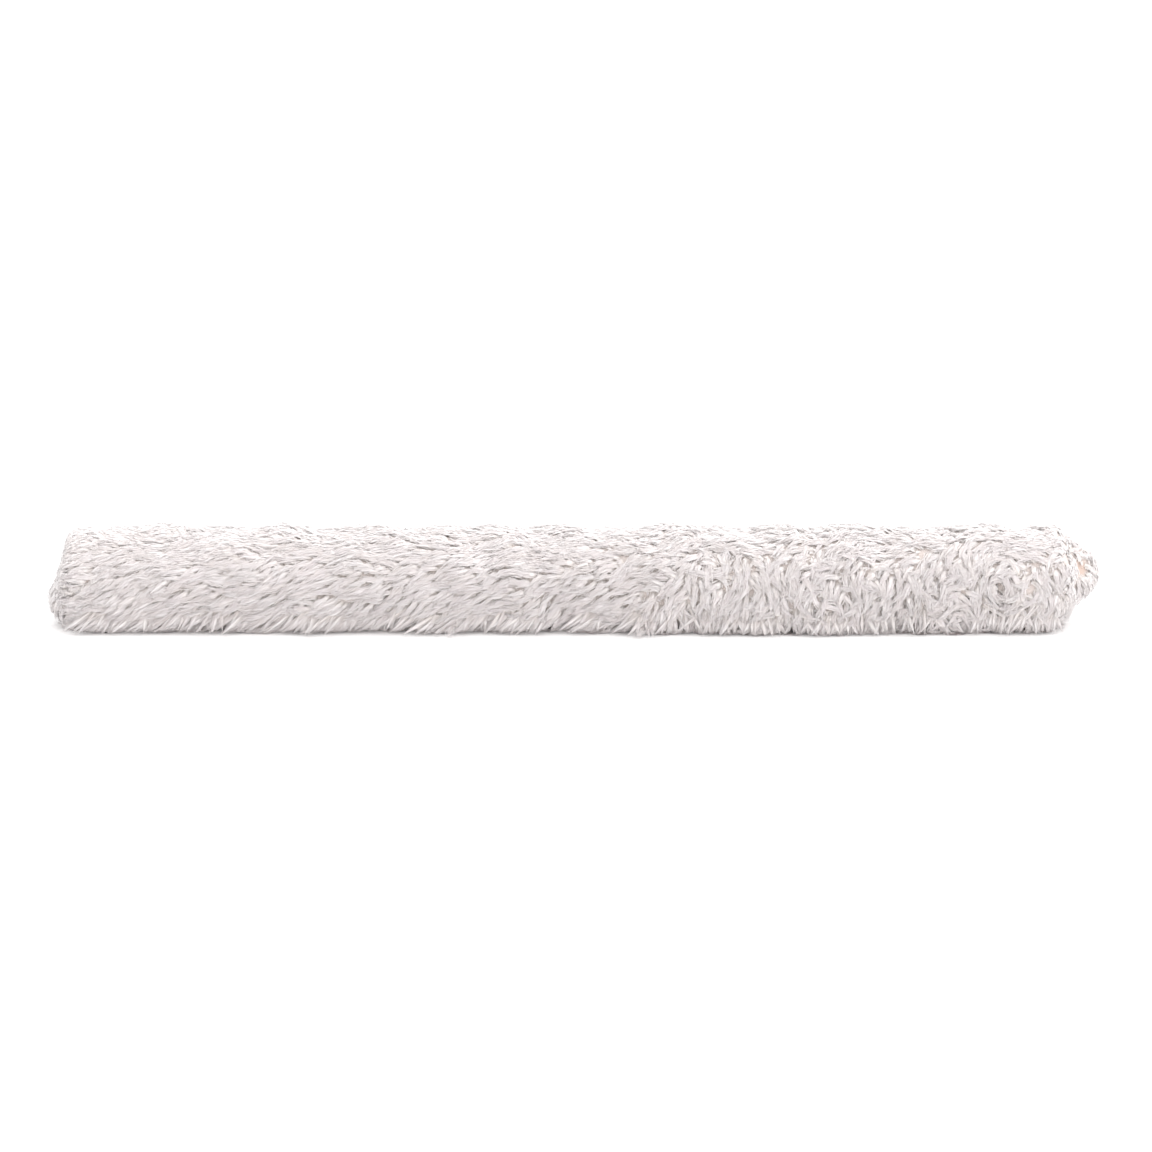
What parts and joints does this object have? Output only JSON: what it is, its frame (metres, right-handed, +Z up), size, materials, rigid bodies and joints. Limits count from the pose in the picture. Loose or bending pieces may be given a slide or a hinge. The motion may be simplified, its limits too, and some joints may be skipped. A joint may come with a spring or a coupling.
{
  "type": "draught excluder",
  "caption": "Long straight filled roll of cream long-pile faux fur with closed ends, flat where it lies along the foot of a door.",
  "frame": {"origin": "middle of the roll's length and depth, on the floor", "axes": "+X along the roll, towards the end with the gathered lobe; -Y is the front, towards the room; +Z up"},
  "size_m": [0.9, 0.1074, 0.0941],
  "materials": {
    "fur": "long cream faux fur"
  },
  "bodies": {
    "root": {"fur_roll": "fur"}
  },
  "joints": []
}
